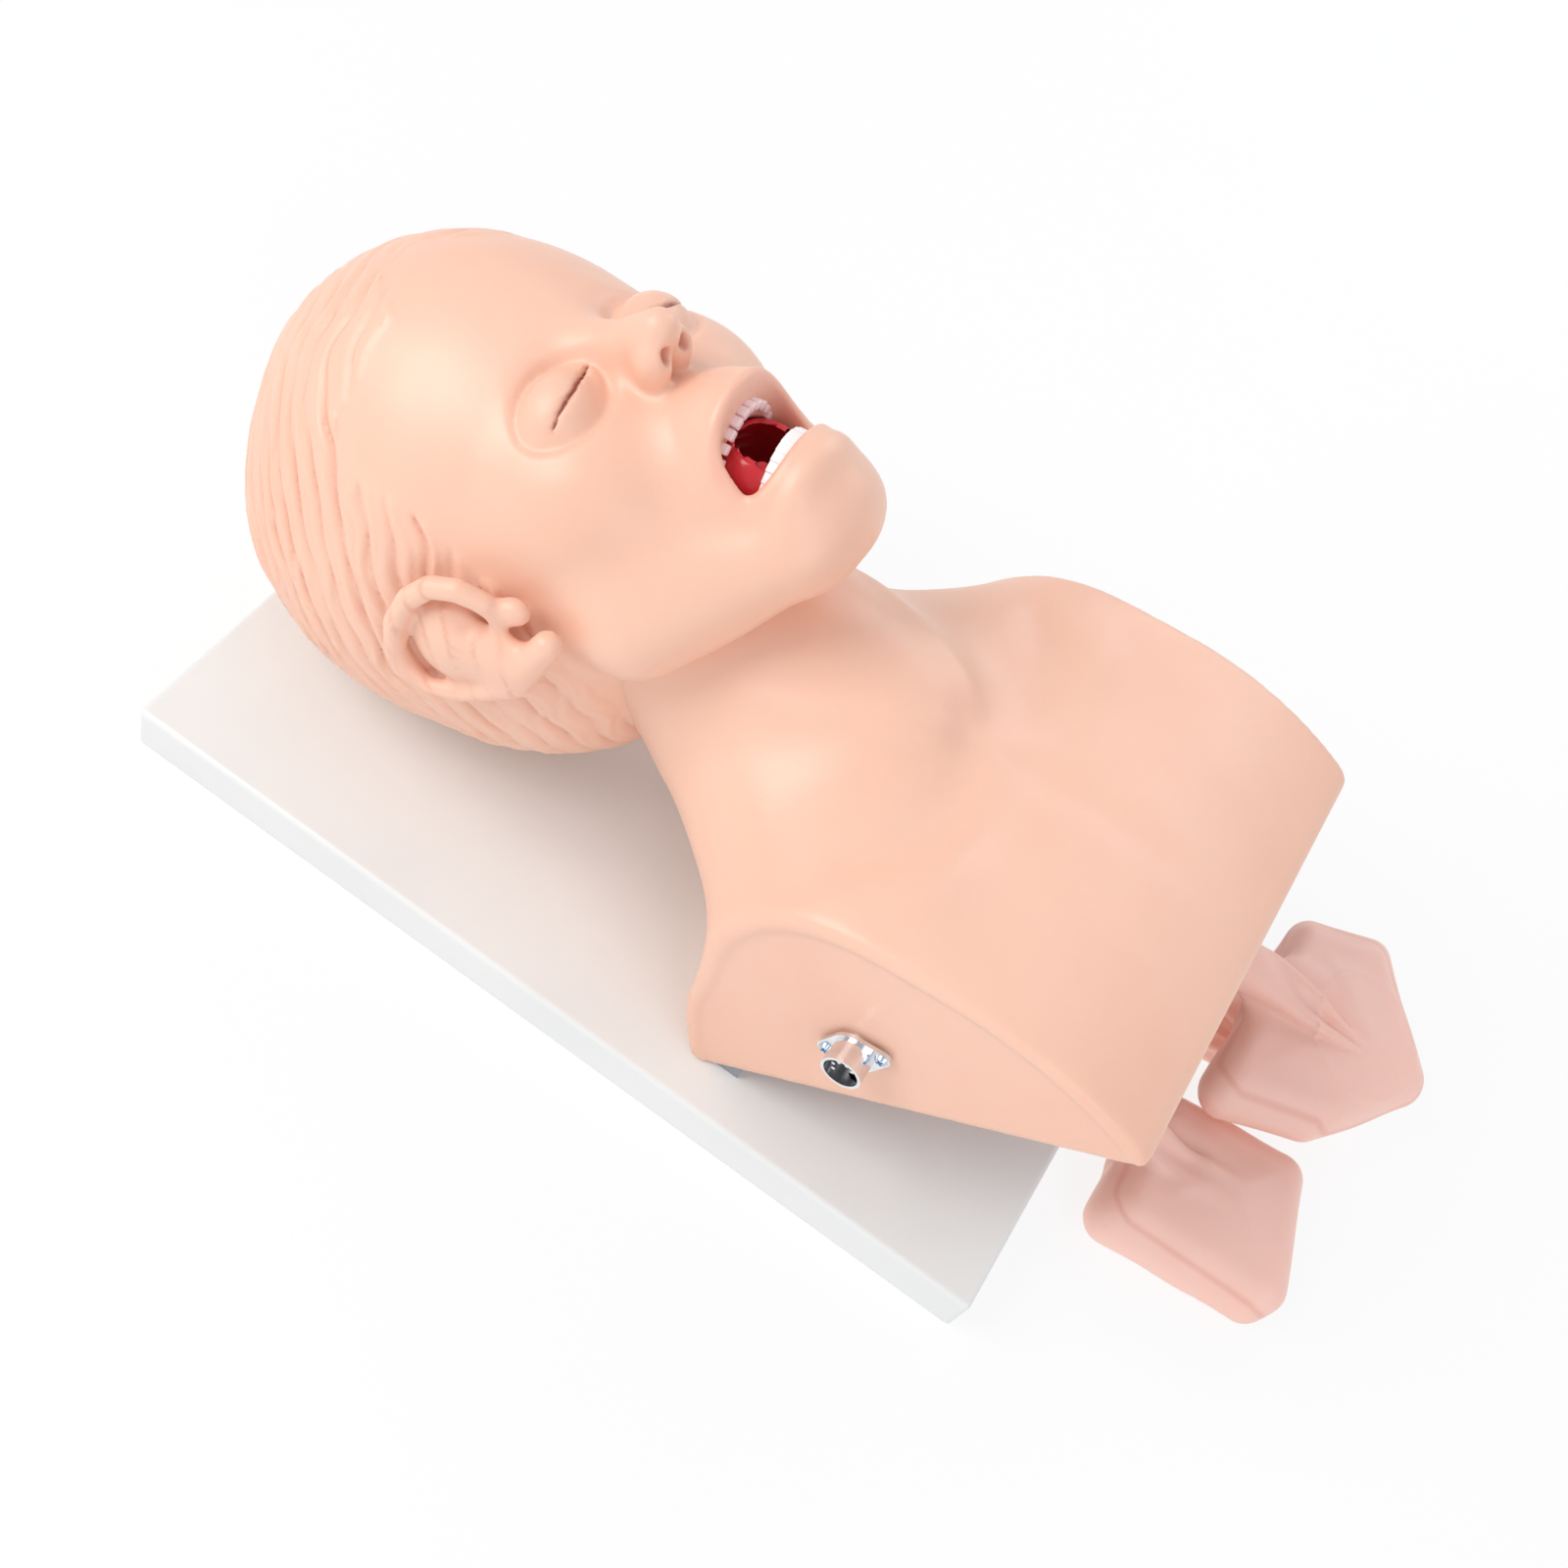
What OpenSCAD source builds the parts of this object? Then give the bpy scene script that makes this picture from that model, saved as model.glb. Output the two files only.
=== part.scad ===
// Airway management trainer: a head and bust on a board, with a mouth, throat, lungs and stomach
// that a tube can be passed into. Millimetres. X runs from the crown to the chest, Y to the
// figure's left and Z up. The origin is the centre of the board's underside.

/* [Board] */
// Length of the board
board_l = 400; // [360:5:460]
// Width of the board
board_w = 236; // [220:2:300]
// Thickness of the board
board_t = 24; // [20:1:30]
// Rounding of the board's corners
board_r = 4; // [2:1:12]

/* [Head] */
// Distance of the ear line from the middle of the board, towards the crown
head_x = 85.5; // [84:0.5:88]
// Height of the ear line above the table
head_z = 155; // [154:0.5:158]
// Angle of the face line from the board: 90 looks straight up, more is tilted back
head_tilt = 101.7; // [100:0.1:104]
// Thickness of the soft face skin
skin_t = 3.2; // [2.5:0.1:3.6]

/* [Bust] */
// Half of the distance between the two flat shoulder cuts
bust_hw = 100; // [98:1:104]
// Distance of the chest edge from the middle of the board
bust_end = 208; // [204:1:212]
// Height of the chest edge's underside above the table
bust_end_z = 149; // [146:1:152]
// Thickness of the bust's wall
bust_t = 4; // [3:0.5:5]

/* [Neck hinge] */
// Distance of the hinge pin from the middle of the board, towards the crown
neck_x = 36; // [34:1:38]
// Height of the hinge pin above the table
neck_z = 112; // [110:1:114]
// Diameter of the hinge pin
neck_pin_d = 8; // [6:1:10]

/* [Jaw] */
// Diameter of the two jaw pins
jaw_pin_d = 5; // [4:0.5:6]
// Half of the distance between the outer faces of the jaw's hinge eyes
jaw_hw = 56; // [55:1:57]

/* [Connector] */
// Diameter of the round socket
plug_d = 16; // [14:0.5:19]
// How far the socket stands out of the shoulder
plug_l = 11; // [8:1:14]

/* [Hidden] */

// Radial running clearance of a pin in its eye
run = 0.05;
skin_colour = [0.95, 0.77, 0.68];
bone_colour = [0.93, 0.91, 0.84];
lung_colour = [0.97, 0.78, 0.74];
red_colour = [0.72, 0.16, 0.16];
steel_colour = [0.78, 0.79, 0.80];
tooth_colour = [0.97, 0.95, 0.93];

// Plain helpers for points and blended solids
function mix1(a, b, t) = a + (b - a) * t;
function limit(v, lo, hi) = min(max(v, lo), hi);
function blend_in(a, b, k) = let (h = max(k - abs(a - b), 0) / k) min(a, b) - h * h * k / 4;
function blend_out(a, b, k) = -blend_in(-a, -b, k);
// Distance to a ball stretched to radii r, and to a tapered rod with round ends
function ball_d(p, c, r) =
    let (d = p - c,
         a = norm([d[0] / r[0], d[1] / r[1], d[2] / r[2]]),
         b = norm([d[0] / r[0] / r[0], d[1] / r[1] / r[1], d[2] / r[2] / r[2]]))
    a * (a - 1) / (b + 0.000001);
function rod_d(p, a, b, ra, rb) =
    let (pa = p - a, ba = b - a, h = limit((pa * ba) / (ba * ba), 0, 1))
    norm(pa - h * ba) - mix1(ra, rb, h);

// The head, in its own axes: X out of the face, Y to the figure's left, Z to the crown,
// from the point midway between the ears. It is the same on both sides.
function skull_d(p) =
    let (a = blend_in(ball_d(p, [-14, 0, 47], [90, 80, 96]), ball_d(p, [-38, 0, 50], [80, 86, 101]), 8))
    blend_in(a, ball_d(p, [-54, 0, 8], [55, 68, 62]), 16);
function face_d(p) =
    let (a = blend_in(skull_d(p), ball_d(p, [15, 0, -14], [52, 58, 66]), 22),
         b = blend_in(a, ball_d(p, [34, 31, -12], [26, 28, 28]), 16),
         c = blend_in(b, rod_d(p, [2, 46, -44], [36, 15, -82], 20, 18), 20),
         d = blend_in(c, ball_d(p, [41, 0, -91], [20, 22, 15]), 12),
         e = blend_in(d, ball_d(p, [52, 0, -50], [30, 25, 25]), 14))
    blend_in(e, ball_d(p, [52, 0, -82], [20, 22, 10]), 10);
function head_d(q) =
    let (p = [q[0], abs(q[1]), q[2]],
         a = blend_out(face_d(p), -ball_d(p, [82, 27, 3], [16, 21, 15]), 12),
         b = blend_in(a, ball_d(p, [55, 27, 1.5], [17.5, 17, 14.5]), 4),
         c = blend_in(b, rod_d(p, [66, 0, 10], [91, 0, -20], 5.5, 7), 10))
    blend_in(c, ball_d(p, [83, 9, -24], [8, 6.5, 6.5]), 5);

// The bust, in the board's axes. Its open underside is a slope from the board to the chest edge.
slope_x = 66;
neck_a = [40, 0, 130];
neck_b = [-60, 0, 130];
neck_ra = 46;
neck_rb = 46;
// The chest's curve is part of a circle seen from the side, rounded into the back of the shoulders
function chest_d(p) = blend_out(norm([p[0] - 140, p[2] - 33]) - 137, 42 - p[0], 50);
function slope_d(p) =
    let (dx = bust_end - slope_x, dz = bust_end_z - board_t, n = norm([dx, dz]))
    ((p[0] - slope_x) * dz - (p[2] - board_t) * dx) / n;
// The foot of the shoulders slants in towards the board
foot_top = [39, 64];
foot_low = [56, 24];
function foot_d(p) =
    let (d = foot_low - foot_top, n = norm(d))
    ((p[0] - foot_top[0]) * d[1] - (p[2] - foot_top[1]) * d[0]) / n;
function bust_form_d(q) =
    let (p = [q[0], abs(q[1]), q[2]],
         a = blend_in(blend_out(chest_d(p), foot_d(p), 8), rod_d(p, neck_a, neck_b, neck_ra, neck_rb), 34))
    blend_in(a, rod_d(p, [10, 20, 106], [84, 72, 116], 34, 44), 26);
function bust_d(p) =
    let (a = blend_out(bust_form_d(p), slope_d(p), 4),
         b = blend_out(a, abs(p[1]) - bust_hw, 6),
         c = blend_out(b, p[0] - bust_end, 6))
    blend_out(c, board_t - p[2], 3);
// The hollow inside runs out through the underside
function bust_hollow_d(p) =
    max(bust_form_d(p) + bust_t, abs(p[1]) - bust_hw + bust_t, p[0] - bust_end + 7);

// Distance from point c along unit direction d at which a blended form ends, found by halving.
// kind: 0 head, 1 bust, 2 hollow of the bust
function form_d(kind, p) =
    kind == 0 ? head_d(p) : kind == 1 ? bust_d(p) : bust_hollow_d(p);
function reach(kind, c, d, off, lo, hi, n) =
    n == 0 ? (lo + hi) / 2 :
    let (m = (lo + hi) / 2)
    form_d(kind, c + d * m) + off < 0 ? reach(kind, c, d, off, m, hi, n - 1)
                                      : reach(kind, c, d, off, lo, m, n - 1);

// A closed skin from rings of points, each ring with the same count, and a point at each end
module rings(first, table, last) {
    n = len(table[0]);
    m = len(table);
    points = concat([first], [for (ring = table) for (p = ring) p], [last]);
    sides = [for (i = [0 : m - 2]) for (j = [0 : n - 1])
             let (a = 1 + i * n + j, b = 1 + i * n + (j + 1) % n)
             for (f = [[a, a + n, b + n], [a, b + n, b]]) f];
    caps = [for (j = [0 : n - 1])
            for (f = [[0, 1 + j, 1 + (j + 1) % n],
                      [m * n + 1, (m - 1) * n + 1 + (j + 1) % n, (m - 1) * n + 1 + j]]) f];
    polyhedron(points, concat(sides, caps), convexity = 8);
}

// The head's form or one of its inner walls, as rings around the crown line
head_c = [-8, 0, 4];
module head_form(kind, off, lat, lon) {
    dirs = [for (i = [1 : lat - 1]) let (e = 90 - 180 * i / lat)
            [for (j = [0 : lon - 1]) let (w = -360 * j / lon) [cos(e) * cos(w), cos(e) * sin(w), sin(e)]]];
    table = [for (ring = dirs) [for (d = ring) head_c + d * reach(kind, head_c, d, off, 20, 190, 11)]];
    up = reach(kind, head_c, [0, 0, 1], off, 20, 190, 11);
    down = reach(kind, head_c, [0, 0, -1], off, 20, 190, 11);
    rings(head_c + [0, 0, up], table, head_c - [0, 0, down]);
}

// The bust's form or its hollow, as rings around the line from the neck to the chest
bust_line = [[-44, 129], [-30, 128], [-15, 125], [0, 120], [14, 110], [26, 98], [38, 88], [48, 84],
             [58, 85], [72, 92], [90, 104], [112, 118], [135, 132], [160, 142], [182, 150]];
module bust_form(kind, lon, x_last, z_last) {
    stations = concat(bust_line, [[x_last, z_last]]);
    table = [for (s = stations)
             [for (j = [0 : lon - 1]) let (w = 360 * j / lon, d = [0, cos(w), sin(w)], c = [s[0], 0, s[1]])
              c + d * reach(kind, c, d, 0, 0, 240, 13)]];
    rings([stations[0][0], 0, stations[0][1]], table, [x_last, 0, z_last]);
}

// Puts a piece that is drawn in the head's axes in its place
module in_head() {
    translate([-head_x, 0, head_z]) rotate([0, -head_tilt, 0]) children();
}
module both_sides() {
    children();
    mirror([0, 1, 0]) children();
}
module ball(p, r, fn = 20) {
    translate(p) sphere(r, $fn = fn);
}
module round_plate(l, w, t, r) {
    linear_extrude(t)
        hull()
            for (x = [-1, 1], y = [-1, 1])
                translate([x * (l / 2 - r), y * (w / 2 - r)]) circle(r, $fn = 32);
}

module base_board() {
    color([0.93, 0.94, 0.92])
        difference() {
            round_plate(board_l, board_w, board_t, board_r);
            for (y = [-1, 1], x = bracket_holes)
                translate([x, y * bracket_screw_y, board_t - 14]) cylinder(d = 3.6, h = 15, $fn = 24);
            for (y = [-1, 1], x = cleat_holes)
                translate([x, y * cleat_y, board_t - 12]) cylinder(d = 3, h = 13, $fn = 24);
        }
}

// The bust is one hollow moulding, open below, with screw lugs inside its lower edges
lug_x = [96, 118, 140, 160];
module bust_skin() {
    color(skin_colour)
        difference() {
            union() {
                difference() {
                    bust_form(1, 44, bust_end, bust_end_z + 2);
                    bust_form(2, 30, bust_end - 7, bust_end_z - 3);
                    translate([-60, 0, neck_b[2]]) rotate([0, 90, 0]) cylinder(r = neck_rb - bust_t, h = 60, $fn = 30);
                    translate([slope_x - 14, -bust_hw + bust_t, 0]) cube([50, 2 * bust_hw - 2 * bust_t, 60]);
                }
                for (y = [-1, 1])
                    translate([59, y > 0 ? bust_hw - bust_t : -bust_hw + 0.02, board_t + 0.02])
                        cube([6, bust_t - 0.02, 8]);
                translate([56.6, -96, board_t + 0.02]) cube([4.2, 192, 8]);
                for (y = [-1, 1], x = lug_x)
                    let (z = board_t + (x - slope_x) * (bust_end_z - board_t) / (bust_end - slope_x))
                    hull() {
                        translate([x - 4, y * (bust_hw - bust_t / 2) - 1, z + 4]) cube([8, 2, 2]);
                        translate([x - 3, y * (bust_hw - 8) - 1, z + 7]) cube([6, 2, 2]);
                    }
            }
            translate([-60, -24, 150]) cube([62, 48, 40]);
            at_socket() translate([0, 0, -6]) cylinder(d = plug_d + 1, h = 12, $fn = 28);
            at_socket()
                for (x = [-1, 1]) translate([x * ear_pitch / 2, 0, -6]) cylinder(d = 3.1, h = 12, $fn = 16);
        }
}

// An ear: a raised C of rim round a hollow, with a soft lobe
ear_rim = [[9, 75, -8], [17, 79, -1], [20, 82, 11], [13, 85, 23], [1, 87, 30], [-16, 87, 33],
           [-31, 86, 29], [-37, 85, 18], [-33, 84, 3], [-23, 81, -13], [-11, 78, -25], [3, 75, -30]];
module ear() {
    for (i = [0 : len(ear_rim) - 2])
        hull() {
            ball(ear_rim[i], 4.2, 8);
            ball(ear_rim[i + 1], 4.2, 8);
        }
    hull() {
        ball([-4, 77, 20], 6, 8);
        ball([-24, 78, 16], 7, 8);
        ball([-14, 76, -14], 6, 8);
        ball([2, 72, -8], 5, 8);
    }
}

// The soft skin of the head: brow, closed eyes, nose, open lips, chin, ears and back of the head
module head_skin() {
    color(skin_colour)
        difference() {
            in_head()
                difference() {
                    union() {
                        head_form(0, 0, 34, 44);
                        both_sides() ear();
                    }
                    head_form(0, skin_t, 22, 28);
                    translate([78, 0, -64]) scale([34, 19, 11]) sphere(1, $fn = 28);
                    arch_band(lower_u - 3, 14, -34, -1);
                    both_sides() translate([84, 8, -31]) rotate([0, 30, 14]) scale([1, 0.8, 1]) cylinder(d = 6.4, h = 12, center = true, $fn = 16);
                }
            translate([-64, 0, neck_b[2]]) rotate([0, 90, 0]) cylinder(r1 = neck_rb + 1.6, r2 = neck_ra + 22, h = 120, $fn = 40);
        }
}

// The hard skull under the skin, with an eye at its base that turns on the neck pin
skull_off = skin_t + 2.1;
skull_wall = 6;
neck_sweep = 61;
module skull_shell() {
    difference() {
        head_form(0, skull_off, 20, 26);
        head_form(0, skull_off + skull_wall, 14, 18);
        translate([-100, -100, -160]) cube([220, 200, 160 + upper_u + 5.2]);
    }
}
neck_eye_hw = 16.5;
neck_arm = [[0, 10.8], [-56, 2], [-96, -52], [-134, -70], [-134, -90], [-96, -90], [-76, -58], [-46, -26], [0, -10.8]];
// The floor of the skull carries the jaw's hinge bosses, and the roof of the mouth the springs
module skull_floor() {
    intersection() {
        union() {
            translate([-2, -80, -2]) cube([80, 160, 8]);
            translate([31, -60, upper_u + 6]) cube([60, 120, 3]);
        }
        head_form(0, skull_off + 2, 20, 24);
    }
    both_sides() {
        translate([jaw_f, jaw_hw - 13, jaw_u]) rotate([90, 0, 0]) cylinder(r = 7.5, h = 10, $fn = 32);
        translate([jaw_f - 7.5, jaw_hw - 23, jaw_u]) cube([15, 10, 6]);
    }
}
module skull() {
    color(bone_colour) {
        difference() {
            in_head() union() {
                skull_shell();
                skull_floor();
            }
            in_head() translate([switch_f - 0.1, -switch_w / 2 - 0.1, upper_u + 5]) cube([10.2, switch_w + 0.2, 6]);
            in_head() for (p = spring_at) translate([p[0], p[1], upper_u - 2]) cylinder(r = 4, h = 7.98, $fn = 24);
            in_head() both_sides()
                translate([jaw_f, jaw_hw - 8, jaw_u]) rotate([90, 0, 0]) cylinder(d = jaw_pin_d + 0.02, h = 20, $fn = 32);
            translate([-neck_x, 0, neck_z]) sphere(neck_sweep, $fn = 40);
            in_head() both_sides() translate([jaw_f - 22, jaw_hw - 13.8, jaw_u - 34]) cube([36, 60, 44]);
        }
        difference() {
            union() {
                translate([-neck_x, neck_eye_hw, neck_z]) rotate([90, 0, 0]) cylinder(r = 11, h = 2 * neck_eye_hw, $fn = 40);
                intersection() {
                    translate([-neck_x, neck_eye_hw, neck_z]) rotate([90, 0, 0])
                        linear_extrude(2 * neck_eye_hw) polygon(neck_arm);
                    in_head() head_form(0, skull_off + 2, 20, 24);
                }
            }
            translate([-neck_x, 0, neck_z]) rotate([90, 0, 0]) cylinder(d = neck_pin_d + 2 * run, h = 60, center = true, $fn = 40);
        }
    }
}

// The lower jaw: an arch of bone with two hinge eyes
jaw_f = 4;
jaw_u = -6;
jaw_bone = [[4, 50.5, -8], [-1, 47, -40], [20, 32, -64], [46, 8, -88]];
jaw_bone_r = [5.5, 7, 7.5, 8];
module mandible() {
    color(bone_colour)
        in_head()
            difference() {
                union() {
                    both_sides() {
                        for (i = [0 : 2])
                            hull() {
                                ball(jaw_bone[i], jaw_bone_r[i], 16);
                                ball(jaw_bone[i + 1], jaw_bone_r[i + 1], 16);
                            }
                        translate([jaw_f, jaw_hw, jaw_u]) rotate([90, 0, 0]) cylinder(r = 8, h = 11, $fn = 32);
                    }
                    hull() {
                        ball(jaw_bone[3], jaw_bone_r[3], 16);
                        mirror([0, 1, 0]) ball(jaw_bone[3], jaw_bone_r[3], 16);
                    }
                }
                arch_band(lower_u, 20, -16, 3);
                both_sides() translate([jaw_f, jaw_hw + 1, jaw_u]) rotate([90, 0, 0]) cylinder(d = jaw_pin_d + 2 * run, h = 20, $fn = 32);
            }
}
module jaw_pins() {
    color(steel_colour)
        in_head() both_sides()
            translate([jaw_f, jaw_hw + 3.5, jaw_u]) rotate([90, 0, 0]) {
                cylinder(d = jaw_pin_d, h = 24, $fn = 32);
                cylinder(d = jaw_pin_d + 5, h = 3, $fn = 32);
            }
}

// Teeth stand on an arch; w is the angle from the middle of the mouth
arch_f = 39;
function arch(w, grow) = [arch_f + (28 + grow) * cos(w), (21 + grow) * sin(w)];
module teeth_row(u, dir, count, size, grow) {
    for (i = [0 : count - 1])
        let (w = mix1(-78, 78, i / (count - 1)), p = arch(w, grow))
        translate([p[0], p[1], u]) rotate([0, 0, w])
            translate([-2.2, -size / 2, dir > 0 ? 0 : -8]) cube([4.4, size, 8]);
}
module arch_band(u, h, inner, outer) {
    translate([0, 0, u])
        linear_extrude(h)
            polygon(concat([for (w = [-90 : 10 : 90]) arch(w, outer)], [for (w = [90 : -10 : -90]) arch(w, inner)]));
}
upper_u = -42;
module upper_teeth() {
    color(tooth_colour)
        in_head() {
            teeth_row(upper_u - 4.5, -1, 14, 4.6, -1);
            arch_band(upper_u - 5, 3.48, -6, 2);
        }
}
lower_u = -80;
module lower_teeth() {
    color(tooth_colour)
        in_head() {
            teeth_row(lower_u + 3.5, 1, 12, 4.2, -6);
            arch_band(lower_u + 0.02, 4, -11, -3);
        }
}
// The upper teeth are clipped to a plate on two springs, which a lever that presses them pushes in
module teeth_plate() {
    color([0.85, 0.45, 0.42])
        in_head()
            difference() {
                arch_band(upper_u - 1.5, 2.5, -12, 1);
                translate([arch_f, 0, upper_u - 3]) cylinder(r = 8, h = 6, $fn = 24);
            }
}
spring_l = 4;
spring_r = 2.4;
spring_turns = 3;
spring_at = [[53, 13], [53, -13]];
module spring() {
    steps = 10 * spring_turns;
    table = [for (i = [0 : steps]) let (w = 36 * i, c = [spring_r * cos(w), spring_r * sin(w), 0.5 + spring_l * i / steps])
             [for (j = [0 : 4]) c + 0.45 * cos(72 * j) * [cos(w), sin(w), 0] + [0, 0, -0.45 * sin(72 * j)]]];
    rings([spring_r, 0, 0.5], table, [spring_r, 0, 0.5 + spring_l]);
}
module plate_springs() {
    color(steel_colour)
        in_head()
            for (p = spring_at) translate([p[0], p[1], upper_u + 1]) spring();
}
switch_f = 45;
switch_w = 12;
module bite_switch() {
    color([0.12, 0.12, 0.13])
        in_head() {
            translate([switch_f, -switch_w / 2, upper_u + 3]) cube([10, switch_w, 7]);
            translate([switch_f + 8, 0, upper_u + 1.6]) cylinder(d = 3, h = 2, $fn = 20);
        }
}

module tongue() {
    color([0.86, 0.45, 0.45])
        in_head()
            hull() {
                translate([45, 0, -74]) scale([8, 10, 4.5]) sphere(1, $fn = 22);
                translate([32, 0, -68]) scale([13, 12, 7]) sphere(1, $fn = 22);
                translate([16, 0, -64]) scale([9, 11, 7]) sphere(1, $fn = 22);
            }
}
// The palate and the back of the throat
module mouth_lining() {
    color(red_colour)
        in_head()
            difference() {
                union() {
                    hull() {
                        ball([38, 0, -57.4], 14.6, 18);
                        ball([6, 0, -36], 10, 18);
                    }
                    hull() {
                        ball([6, 0, -36], 10, 18);
                        ball([-12, 0, -31], 10, 18);
                    }
                }
                hull() {
                    ball([42, 0, -60], 13, 18);
                    ball([6, 0, -36], 8.4, 18);
                }
                hull() {
                    ball([6, 0, -36], 8.4, 18);
                    ball([-24, 0, -30], 8.4, 18);
                }
                translate([4, -30, -104]) cube([80, 60, 49]);
            }
}

// The windpipe lies above the gullet in the neck
throat_a = [-34, 0, 153];
throat_b = [96, 0, 122];
tube_len = norm(throat_b - throat_a);
tube_dip = 90 + atan((throat_a[2] - throat_b[2]) / (throat_b[0] - throat_a[0]));
module along_throat() {
    translate(throat_a) rotate([0, tube_dip, 0]) children();
}
larynx_l = 26;
module larynx() {
    color([0.90, 0.62, 0.56])
        along_throat()
            difference() {
                union() {
                    cylinder(r1 = 10.4, r2 = 12, h = 14, $fn = 40);
                    translate([0, 0, 14]) cylinder(r1 = 12, r2 = 10.8, h = larynx_l - 14, $fn = 40);
                }
                difference() {
                    translate([0, 0, -1]) cylinder(r = 8.2, h = larynx_l + 2, $fn = 40);
                    for (y = [-1, 1])
                        translate([-12, y * 5.5 - 2.5, 12]) cube([24, 5, 2.5]);
                }
            }
}
module epiglottis() {
    color([0.86, 0.47, 0.45])
        along_throat()
            translate([-8, 0, -9]) rotate([0, 14, 0])
                linear_extrude(9)
                    difference() {
                        translate([8, 0]) circle(10, $fn = 32);
                        translate([9.6, 0]) circle(9.6, $fn = 32);
                        translate([4, -12]) square(24);
                    }
}
ring_step = 7;
module trachea() {
    color([0.93, 0.80, 0.74])
        along_throat()
            translate([0, 0, larynx_l + 0.2])
                difference() {
                    union() {
                        cylinder(r = 10, h = tube_len - larynx_l - 0.2, $fn = 40);
                        for (z = [4 : ring_step : tube_len - larynx_l - 8])
                            translate([0, 0, z]) cylinder(r = 11.2, h = 3.4, $fn = 40);
                    }
                    translate([0, 0, -1]) cylinder(r = 8, h = tube_len, $fn = 40);
                }
}
module pipe(a, b, r) {
    d = b - a;
    translate(a) rotate([0, acos(d[2] / norm(d)), atan2(d[1], d[0])]) cylinder(r = r, h = norm(d), $fn = 32);
}
// A round hose that bends at each point between its ends
function unit(v) = v / norm(v);
module hose(pts, r, sides = 24) {
    n = len(pts) - 1;
    table = [for (i = [0 : n])
             let (d = unit(unit(pts[min(i, n - 1) + 1] - pts[min(i, n - 1)]) + unit(pts[max(i, 1)] - pts[max(i, 1) - 1])),
                  across = unit(cross([0, 0, 1], d)), up = cross(d, across))
             [for (j = [0 : sides - 1]) let (w = 360 * j / sides) pts[i] + r * (cos(w) * across + sin(w) * up)]];
    rings(pts[0], table, pts[n]);
}
fork = throat_b + [15, 0, -3.5];
right_end = [184, -18, 62];
left_end = [198, 50, 84];
module bronchi() {
    color([0.93, 0.80, 0.74])
        difference() {
            union() {
                pipe(throat_b + [0.3, 0, 0], fork, 10);
                translate(fork) sphere(10.8, $fn = 32);
                pipe(fork, right_end, 7);
                pipe(fork, left_end, 7);
            }
            pipe(throat_b + [-1, 0, 0.2], fork, 8);
            translate(fork) sphere(8.6, $fn = 32);
            pipe(fork, right_end + [2, -0.5, -1.5], 5);
            pipe(fork, left_end + [2, 1, -0.8], 5);
        }
}

// A soft bag from round lobes: a raised face over a wider seam rim
module bag(pts, r, rim_z, rim_t) {
    hull() for (p = pts) ball(p, r, 16);
    hull() for (p = pts) translate([p[0], p[1], rim_z]) cylinder(r = r + 4, h = rim_t, $fn = 20);
}
// A bag's neck starts flat on the end of its tube and then bends to the bag
module bag_neck(a, end, to, r) {
    d = (end - a) / norm(end - a);
    hull() {
        pipe(end + 0.1 * d, end + 5 * d, r);
        ball(to, r + 1, 14);
    }
}
module right_lung() {
    color(lung_colour) {
        bag([[238, -42, 14.2], [296, -34, 14], [284, 14, 14.4], [232, 4, 14.1]], 14, 7.3, 4.1);
        bag_neck(fork, right_end, [240, -8, 16], 8.5);
    }
}
module left_lung() {
    color(lung_colour) {
        bag([[246, 98, 56], [272, 108, 56], [308, 74, 46], [290, 40, 44], [250, 32, 50]], 14, 44, 4);
        bag_neck(fork, left_end, [252, 66, 56], 9);
    }
}
gullet_a = [-33, 0, 131.5];
gullet_b = [100, 14, 92];
stomach_in = [186, 24, 46];
module oesophagus() {
    color([0.90, 0.60, 0.55])
        difference() {
            hose([gullet_a, gullet_b, stomach_in], 6.5);
            hose([gullet_a - [2, 0.2, -0.6], gullet_b, stomach_in + [2, 0.2, -1.1]], 4.8);
        }
}
module stomach_bag() {
    color(lung_colour) {
        bag([[226, 62, 13.2], [262, 66, 13], [266, 92, 13.4], [228, 100, 13.1]], 13, 6.8, 4.1);
        bag_neck(gullet_b, stomach_in, [228, 64, 15], 7.5);
    }
}

// The hinge bracket stands on the board inside the bust and reaches into the neck
cheek_y = 17;
cheek_t = 5;
plate_t = 6;
bracket_holes = [74, 112];
bracket_screw_y = 36;
module neck_bracket() {
    color([0.55, 0.57, 0.60])
        difference() {
            union() {
                translate([62, -44, board_t]) cube([62, 88, plate_t]);
                for (y = [-1, 1])
                    translate([0, y * (cheek_y + cheek_t / 2) + cheek_t / 2, 0]) rotate([90, 0, 0])
                        linear_extrude(cheek_t) {
                            polygon([[66, board_t + plate_t - 1], [120, board_t + plate_t - 1], [118, 38], [98, 52],
                                     [84, 84], [60, 108], [-neck_x, neck_z + 12], [-neck_x, neck_z - 12], [50, 90], [62, 76]]);
                            translate([-neck_x, neck_z]) circle(12, $fn = 40);
                        }
                translate([70, -cheek_y - 1, 40]) cube([6, 2 * cheek_y + 2, 26]);
            }
            translate([-neck_x, 0, neck_z]) rotate([90, 0, 0]) cylinder(d = neck_pin_d + 0.02, h = 90, center = true, $fn = 40);
            for (y = [-1, 1], x = bracket_holes)
                translate([x, y * bracket_screw_y, board_t - 1]) cylinder(d = 4.5, h = 10, $fn = 28);
        }
}
module neck_pin() {
    color(steel_colour)
        translate([-neck_x, 0, neck_z]) rotate([90, 0, 0]) {
            cylinder(d = neck_pin_d, h = 2 * (cheek_y + cheek_t) + 6, center = true, $fn = 40);
            for (s = [-1, 1])
                translate([0, 0, s * (cheek_y + cheek_t + 1.5)]) cylinder(d = 13, h = 3 - 0.04, center = true, $fn = 40);
        }
}
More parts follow.
